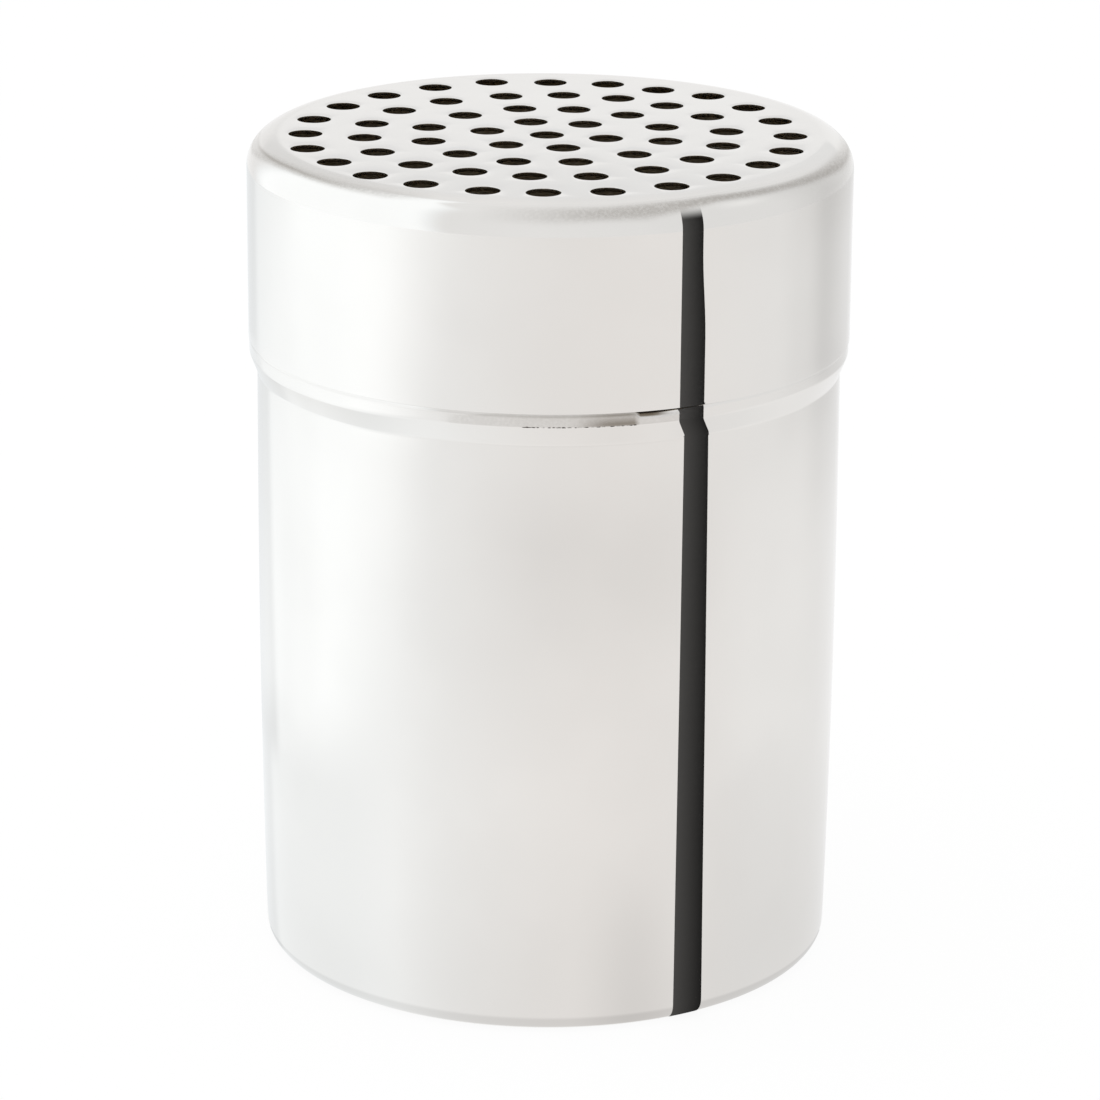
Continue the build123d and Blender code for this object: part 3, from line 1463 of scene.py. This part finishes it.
@dataclass(frozen=True)
class Patch:
    """A soft-edged patch on the table, placed by where the wall mirrors it to the camera.

    Args:
        level: what it adds to the table's brightness, 1 for white.
        turn: bearing of its middle on the wall, in degrees from the front.
        half_turn: half its width, in degrees.
        soft_turn: width of its soft sides, in degrees.
        rise: height of its middle on the wall, in millimetres.
        half_rise: half its height, in millimetres.
        soft_rise: width of its soft ends, in millimetres.
        slant: degrees that it leans to the right per millimetre up.
    """

    level: float
    turn: float
    half_turn: float
    soft_turn: float
    rise: float = 50.0
    half_rise: float = 200.0
    soft_rise: float = 20.0
    slant: float = 0.0

    def light(self, turn: np.ndarray, rise: np.ndarray) -> np.ndarray:
        """What the patch adds at each place: its level, falling smoothly over its soft edges.

        Args:
            turn: bearings on the wall.
            rise: heights on the wall.

        Returns:
            Brightness to add.
        """
        across = np.abs(turn - self.turn - self.slant * (rise - self.rise)) - self.half_turn
        along = np.abs(rise - self.rise) - self.half_rise
        sides = 1 - smooth_step(across, -self.soft_turn / 2, self.soft_turn / 2)
        ends = 1 - smooth_step(along, -self.soft_rise / 2, self.soft_rise / 2)
        return self.level * sides * ends


@dataclass(frozen=True)
class Flag:
    """A narrow dark flag that stands close to the wall and follows it from base to lid.

    Args:
        clearance: its distance from the wall, in millimetres.
        first: its brightness along the left edge, 1 for white.
        second: its brightness along the right edge.
        top_turns: bearings between which the lid mirrors it at its corner, in degrees.
        lid_turns: the same at its edge.
        body_turns: the same on the cup's wall, under the bead.
        base_turns: the same at the base.
        bead_part: heights over the bead's crest between which it goes over to the lid's edge.
        lid_part: heights over the crest between which it goes on to the lid's corner.
        bulge_low: height at which the wall's bulge begins, in millimetres.
        bulge_high: how far under the crest it ends.
        fade: tilts of the lid's corner between which it fades out, in degrees.
    """

    clearance: float = 0.35
    first: float = 0.078
    second: float = 0.016
    top_turns: tuple[float, float] = (24.5, 28.75)
    lid_turns: tuple[float, float] = (24.48, 29.5)
    body_turns: tuple[float, float] = (26.3, 31.5)
    base_turns: tuple[float, float] = (26.2, 32.7)
    bead_part: tuple[float, float] = (-3.0, -1.0)
    lid_part: tuple[float, float] = (8.0, 18.0)
    bulge_low: float = 3.0
    bulge_high: float = 4.0
    fade: tuple[float, float] = (20.0, 44.0)

    def sides(self, skin: np.ndarray, crest: float) -> np.ndarray:
        """Finds the bearings between which the wall mirrors it, at each height.

        They run evenly from the base to the bead, and from the lid's edge to its corner. Where the
        wall bulges they are drawn in by the bulge over the radius times the tangent of the bearing,
        so that the stripe's sides look straight.

        Args:
            skin: the shaker's outer skin, as (out, up), in millimetres.
            crest: height of the bead's crest, in millimetres.

        Returns:
            The bearings of the left and the right side in degrees, one row per point of the skin.
        """
        out, up = skin.T
        base, body = np.array(self.base_turns), np.array(self.body_turns)
        low, high = np.array(self.lid_turns), np.array(self.top_turns)
        on_body = base + np.clip(up / crest, 0.0, 1.0)[:, None] * (body - base)
        on_lid = low + smooth_step(up - crest, *self.lid_part)[:, None] * (high - low)
        turns = on_body + smooth_step(up - crest, *self.bead_part)[:, None] * (on_lid - on_body)
        joints = (self.bulge_low, crest - self.bulge_high)
        chord = np.interp(up, joints, np.interp(joints, up, out))
        bulge = np.clip(out - chord, 0.0, None) * (up < joints[1])
        return turns - np.degrees(np.tan(np.radians(turns)) * (bulge / out)[:, None])


@dataclass
class Studio:
    """The paper, the softbox, the cards and the camera.

    Args:
        shared: sizes of the shaker, which the cards are set up for.
        fill: brightness of the white room as a light, 1 for as bright as it looks.
    """

    shared: Shaker
    fill: float = 0.97
    floor_size: float = 3.0
    camera_place: tuple[float, float, float] = (0.0, -0.5407, 0.2235)
    camera_aim: tuple[float, float, float] = (0.0003, 0.0, 0.04745)
    camera_roll: float = 0.41
    lens: float = 157.2
    sensor: float = 36.0
    softbox: Lamp = Lamp("top_softbox", (-0.3, -0.1, 1.4), (0.0, 0.0, 0.0), watts=4.0, size=1.2)
    flag: Flag = Flag()
    table_level: float = 0.975
    table_turn: float = 85.5
    """Largest bearing at which the wall mirrors the lit table, in degrees."""
    table_fade: tuple[float, float] = (99.0, 112.0)
    """Heights on the wall between which the lit table goes over to plain paper, in millimetres."""
    patches: tuple[Patch, ...] = (
        # The white side of the tent at the left, and the light that falls past it.
        Patch(0.16, turn=-60.0, half_turn=40.0, soft_turn=48.0),
        Patch(0.185, -49.0, 20.0, 22.0, rise=75.5, half_rise=45.0, soft_rise=14.0, slant=0.26),
        Patch(0.05, turn=-31.0, half_turn=5.0, soft_turn=16.0),
        Patch(-0.2, -78.5, 9.5, 4.0, rise=50.0, half_rise=24.0, soft_rise=6.0, slant=-0.06),
        Patch(-0.08, -65.0, 5.0, 8.0, rise=52.0, half_rise=22.0, soft_rise=6.0),
        Patch(-0.05, -56.0, 5.0, 8.0, rise=54.0, half_rise=20.0, soft_rise=6.0),
        Patch(0.08, -32.0, 8.0, 5.0, rise=73.0, half_rise=1.0, soft_rise=1.5),
        Patch(-0.13, -79.5, 7.0, 5.0, rise=11.0, half_rise=15.0, soft_rise=6.0),
        Patch(-0.13, -78.0, 5.5, 4.0, rise=95.0, half_rise=20.0, soft_rise=2.0),
        Patch(-0.07, -70.0, 15.0, 8.0, rise=95.0, half_rise=20.0, soft_rise=4.0),
        # The shade of the camera in front, and the gap beside the tent's side at the right.
        Patch(-0.06, 9.0, 19.0, 22.0, rise=58.0, half_rise=9.0, soft_rise=16.0),
        Patch(-0.1, 18.0, 7.0, 14.0, rise=6.0, half_rise=10.0, soft_rise=12.0),
        Patch(0.04, -8.0, 16.0, 24.0, rise=30.0, half_rise=9.0, soft_rise=20.0),
        Patch(0.045, 49.0, 12.0, 16.0, rise=48.0, half_rise=18.0, soft_rise=12.0),
        Patch(-0.05, 62.0, 12.0, 10.0, rise=72.5, half_rise=4.0, soft_rise=5.0),
        Patch(-0.05, 60.0, 10.0, 8.0, rise=95.0, half_rise=20.0, soft_rise=4.0),
        Patch(-0.05, 60.0, 28.0, 10.0, rise=10.0, half_rise=12.0, soft_rise=24.0),
        Patch(-0.08, 61.0, 3.0, 9.0, rise=92.0, half_rise=18.0, soft_rise=4.0),
        Patch(-0.1, 71.0, 10.0, 10.0, rise=98.0, half_rise=38.0),
        # The last two darken the table right beside the base: painted contact shadow, which the foot of the
        # wall mirrors.
        Patch(-0.03, 0.0, 95.0, 4.0, rise=0.0, half_rise=9.0, soft_rise=12.0),
        Patch(-0.14, 0.0, 95.0, 4.0, rise=0.0, half_rise=0.6, soft_rise=1.0),
    )
    tent_radius: float = 480.0
    tent_light: Course = Course(
        ((-45, 0.965), (0, 1.0), (20, 0.985), (40, 0.95), (94, 0.95), (122, 0.82), (142, 0.95))
    )
    """How bright the tent's front and right are, by bearing in degrees."""
    tent_shade_top: tuple[float, float] = (40.0, 75.0)
    """Elevations between which that shade gives way to white."""
    tent_left: float = 1.3
    left_border: Course = Course(
        (
            (-13, -41.5), (13, -43.5), (26, -45.5), (40, -49.5), (54, -55.5),
            (62, -61.5), (66.5, -75), (68.5, -97), (71, -180),
        )
    )
    """The bearing at which the bright left side begins, by elevation seen from the lid."""
    left_end: tuple[float, float] = (-146.0, -128.0)
    """Bearings between which it fades out behind."""
    left_top: tuple[float, float] = (74.0, 86.0)
    """Elevations between which it fades out overhead."""
    tent_window: tuple[float, float, float] = (0.1, 87.0, 37.0)
    """How much brighter a small window in the right side is, and its bearing and elevation."""
    tent_opening: tuple[float, float] = (140.0, 158.0)
    """Bearings on either side between which the tent opens behind."""
    tent_crown: tuple[float, float] = (60.0, 80.0)
    """Elevations between which it closes over that opening."""
    valance_place: float = -17.0
    """The y of the line on the lid's plate where the plate begins to mirror the valance."""
    valance_cloth: tuple[tuple[float, float, float], ...] = (
        (-3.5, 1.0, 0.0),
        (-1.5, 1.06, 1.0),
        (0.0, 1.06, 1.0),
        (1.5, 0.89, 1.0),
        (10.0, 0.89, 1.0),
        (80.0, 0.93, 1.0),
        (600.0, 0.96, 1.0),
        (3500.0, 1.0, 0.0),
    )
    """Heights over its lower edge in millimetres, how bright it is there and how much it shows."""

    def world(self) -> None:
        """Makes the white room: 1 for what is seen and mirrored, the fill for what is lit."""
        world = bpy.data.worlds.new("white_room")
        bpy.context.scene.world = world
        world.use_nodes = True
        tree = world.node_tree
        tree.nodes.clear()
        white = linear("#FFFFFF")
        light, look = (
            add_node(tree, "Background", {"Color": white, "Strength": level}) for level in (self.fill, 1.0)
        )
        room = add_node(tree, "MixShader", {0: seen_or_mirrored(tree), 1: light, 2: look})
        add_node(tree, "OutputWorld", {"Surface": room})

    def sheet(self, name: str, grid: np.ndarray, paint: Material) -> Object:
        """Makes a sheet of the stage from a grid of points.

        Args:
            name: the sheet's name.
            grid: points in millimetres, (rows, columns, 3).
            paint: its material.

        Returns:
            The sheet's object.
        """
        rows, columns = grid.shape[:2]
        row, column = np.meshgrid(np.arange(rows - 1), np.arange(columns - 1), indexing="ij")
        first = row * columns + column
        quads = np.stack([first, first + 1, first + columns + 1, first + columns], axis=-1)
        mesh = bpy.data.meshes.new(name)
        mesh.from_pydata(grid.reshape(-1, 3) * MM, [], quads.reshape(-1, 4))
        mesh.materials.append(paint)
        sheet = add_object(name, mesh)
        return sheet

    def card(self, name: str, paint: str, grid: np.ndarray, **marks: np.ndarray | float) -> Object:
        """Makes a sheet that only the steel's reflections show.

        Args:
            name: the sheet's name.
            paint: its material's name.
            grid: points in millimetres, (rows, columns, 3).
            **marks: its level, how much it is shown and its warmth, for the grid or part of it.

        Returns:
            The sheet's object.
        """
        sheet = self.sheet(name, grid, CardPaint(paint).make())
        for label, values in marks.items():
            mark(sheet.data, label, np.broadcast_to(values, grid.shape[:2]).ravel())
        sheet.visible_camera = sheet.visible_diffuse = False
        sheet.visible_shadow = sheet.visible_transmission = False
        return sheet

    def floor(self) -> Object:
        """Lays the paper: a flat square on the table plane.

        Returns:
            The floor's object.
        """
        side = np.linspace(-self.floor_size / 2, self.floor_size / 2, 3) / MM
        x, y = np.meshgrid(side, side)
        grid = np.stack([x, y, 0 * x], axis=-1)
        return self.sheet("paper_floor", grid, WhitePaper().make())

    def mirrored(self, places: np.ndarray, normals: np.ndarray) -> np.ndarray:
        """Finds the way in which each place mirrors the camera's line of sight.

        For the unit line of sight d and the unit normal n, it is d - 2 (d . n) n.

        Args:
            places: points on the shaker, in millimetres.
            normals: their unit normals.

        Returns:
            Unit directions.
        """
        sight = places - np.array(self.camera_place) / MM
        sight /= np.linalg.norm(sight, axis=-1, keepdims=True)
        return sight - 2 * np.sum(sight * normals, axis=-1, keepdims=True) * normals

    def table_light(self) -> Object:
        """Lays the light on the table, as a grid of what the wall mirrors to the camera.

        Each row belongs to one height on the wall and each column to one bearing. The point is
        where the mirrored line of sight comes down on the table. The first row closes the sheet
        under the base's corner, and the last ones fade into the white paper.

        Returns:
            The sheet's object.
        """
        # The rows lie closer near the base, where the wall mirrors the table right beside it.
        heights = np.concatenate([np.linspace(0.2, 3.0, 8), np.linspace(4.0, self.table_fade[1], 73)])
        turns = np.linspace(-self.table_turn, self.table_turn, 115)
        rise, turn = np.meshgrid(heights, turns, indexing="ij")
        normals = towards(turn)
        lift, wall_inset, first_inset = 0.05, 0.6, 2.5
        walls = normals * (self.shared.lid_radius - wall_inset) + rise[..., None] * UPRIGHT
        way = self.mirrored(walls, normals)
        landed = walls - way * ((rise - lift) / way[..., 2])[..., None]
        hidden = normals[:1] * (self.shared.lid_radius - first_inset) + lift * UPRIGHT
        grid = np.concatenate([hidden, landed])
        level = self.table_level + sum(patch.light(turn, rise) for patch in self.patches)
        level = np.concatenate([level[:1], level])
        shown = np.concatenate([np.ones_like(turn[:1]), 1 - smooth_step(rise, *self.table_fade)])
        # The light is cool at the left, warm in front and between the two at the right.
        warmth = smooth_step(turn, -45.0, 12.0) * (1 - 0.4 * smooth_step(turn, 20.0, 50.0))
        warmth = np.concatenate([warmth[:1], warmth])
        return self.card("light_on_table", "light_on_table", grid, level=level, shown=shown, warmth=warmth)

    def stand_flag(self, skin: np.ndarray, facing: np.ndarray) -> Object:
        """Stands the flag where the wall mirrors it as one straight upright stripe.

        Every point of it lies on the mirrored line of sight of the wall's point that has to show
        it, at the flag's clearance from the wall, or on the table where that comes first.

        Args:
            skin: the shaker's outer skin from the base up, as (out, up), in millimetres.
            facing: its unit normals, as (out, up).

        Returns:
            The flag's object.
        """
        flag, crest = self.flag, self.shared.bead_crest
        out, up = skin.T
        sides = flag.sides(skin, crest)
        across = np.linspace(0, 1, 7)
        around = towards(sides[:, :1] + (sides[:, 1:] - sides[:, :1]) * across)
        places = around * out[:, None, None] + UPRIGHT * up[:, None, None]
        normals = around * facing[:, :1, None] + UPRIGHT * facing[:, 1:, None]
        way = self.mirrored(places, normals)
        lowest, least_outwards = 0.06, 0.1
        reach = flag.clearance / np.maximum(np.sum(way * normals, axis=-1), least_outwards)
        to_table = (places[..., 2] - lowest) / np.maximum(-way[..., 2], 1e-3)
        reach = np.where(way[..., 2] < 0, np.minimum(reach, to_table), reach)
        grid = places + way * reach[..., None]
        tilt = np.degrees(np.arcsin(np.clip(facing[:, 1], -1.0, 1.0)))
        on_lid = up > crest + 3.0
        shown = np.where(on_lid, 1 - smooth_step(tilt, *flag.fade), 1.0)
        level = flag.first + (flag.second - flag.first) * across
        return self.card("dark_flag", "dark_flag", grid, level=level, shown=shown[:, None], warmth=1.0)

    def tent(self) -> Object:
        """Sets up a tent of white cloth round the shaker, open behind, which only steel mirrors.

        It is a sphere round the lid, from the table up. Its front is a little darker than white,
        its right side darker still, and its left side is lit from behind nearly up to the top.

        Returns:
            The tent's object.
        """
        lifts, turns = np.linspace(-13.0, 90.0, 60), np.linspace(-180.0, 180.0, 145)
        lift, turn = np.meshgrid(lifts, turns, indexing="ij")
        grid = towards(turn, lift) * self.tent_radius + UPRIGHT * (self.shared.top - self.shared.sheet)
        low = 1 - smooth_step(lift, *self.tent_shade_top)
        shade = 1 - self.tent_light.at(turn)
        before_border, past_border = -6.5, 7.5
        beyond = (self.left_border.at(lift) - turn) * np.cos(np.radians(lift))
        beyond -= (past_border - before_border) * smooth_step(lift, *self.left_top)
        left = smooth_step(beyond, before_border, past_border) * smooth_step(turn, *self.left_end)
        extra, middle, height = self.tent_window
        window = extra * bump(turn, middle, 10.0) * bump(lift, height, 8.0)
        level = 1 - shade * low * (1 - left) + (self.tent_left - 1) * left + window
        behind = smooth_step(np.abs(turn), *self.tent_opening)
        shown = 1 - behind * (1 - smooth_step(lift, *self.tent_crown))
        warmth = np.clip(0.5 - left, 0.0, 1.0)
        return self.card("white_tent", "tent_cloth", grid, level=level, shown=shown, warmth=warmth)

    def valance(self, away: float = 1500.0) -> Object:
        """Hangs a grey valance behind, which the front of the lid's plate mirrors.

        Its lower edge hangs where one line on the plate mirrors it to the camera.

        Args:
            away: its distance behind the shaker, in millimetres.

        Returns:
            The valance's object.
        """
        place = np.array([[0.0, self.valance_place, self.shared.top]])
        way = self.mirrored(place, UPRIGHT)[0]
        edge = self.shared.top + way[2] / way[1] * (away - self.valance_place)
        over, level, shown = np.array(self.valance_cloth).T[..., None]
        up, x = np.meshgrid(edge + over, np.linspace(-2 * away, 2 * away, 13), indexing="ij")
        grid = np.stack([x, np.full_like(x, away), up], axis=-1)
        return self.card("grey_valance", "valance_cloth", grid, level=level, shown=shown, warmth=0.5)

    def camera(self) -> Object:
        """Sets up the camera: a long lens from above the front.

        Returns:
            The camera's object.
        """
        data = bpy.data.cameras.new("camera")
        data.lens = self.lens
        data.sensor_width = self.sensor
        data.clip_start, data.clip_end = 0.05, 20.0
        camera = add_object("camera", data)
        place = Vector(self.camera_place)
        look = (Vector(self.camera_aim) - place).to_track_quat("-Z", "Y").to_matrix().to_4x4()
        roll = Matrix.Rotation(math.radians(self.camera_roll), 4, "Z")
        camera.matrix_world = Matrix.Translation(place) @ look @ roll
        bpy.context.scene.camera = camera
        return camera

    def build(self, skin: np.ndarray, facing: np.ndarray) -> None:
        """Builds the whole studio.

        Args:
            skin: the shaker's outer skin from the base up, as (out, up), in millimetres.
            facing: its unit normals, as (out, up).
        """
        self.world()
        self.floor()
        self.table_light()
        self.stand_flag(skin, facing)
        self.tent()
        self.valance()
        self.softbox.build()
        self.camera()


# ---- the scene ---------------------------------------------------------------------------------


def outer_wall(cup: Cup, lid: PunchedLid) -> tuple[np.ndarray, np.ndarray]:
    """Follows the shaker's outside from the base's corner to the lid's corner.

    Args:
        cup: the cup.
        lid: the lid on it.

    Returns:
        Points as (out, up) and unit normals, one row each, from the base up.
    """
    corner_depth, last_tilt, step = 1.2, 0.8, 0.01
    cup_skin, cup_facing = cup.section(bend_step=1.0).outer_skin()
    lid_skin, lid_facing = lid.section(bend_step=1.0).outer_skin()
    low = (cup_skin[:, 0] > cup.base_radius() - corner_depth) & (cup_skin[:, 1] < lid_skin[-1, 1])
    high = lid_facing[::-1, 1] < last_tilt
    cup_skin, cup_facing = cup_skin[low], cup_facing[low]
    # The bulge tilts the normals by its slope.
    steep = (cup.bulge(cup_skin[:, 1] + step) - cup.bulge(cup_skin[:, 1] - step)) / (2 * step)
    cup_facing[:, 1] -= steep * cup_facing[:, 0]
    cup_facing /= np.linalg.norm(cup_facing, axis=1)[:, None]
    cup_skin[:, 0] += cup.bulge(cup_skin[:, 1])
    skin = np.concatenate([cup_skin, lid_skin[::-1][high]])
    return skin, np.concatenate([cup_facing, lid_facing[::-1][high]])


def main() -> None:
    """Builds the studio, then the shaker's pieces."""
    logging.basicConfig(level=logging.INFO, format="%(name)s: %(message)s")
    bpy.context.scene.view_settings.view_transform = "Standard"
    shared = Shaker()
    cup, lid = Cup(shared), PunchedLid(shared)
    Studio(shared).build(*outer_wall(cup, lid))
    for piece in (cup.build(), lid.build()):
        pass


if __name__ == "__main__":
    main()
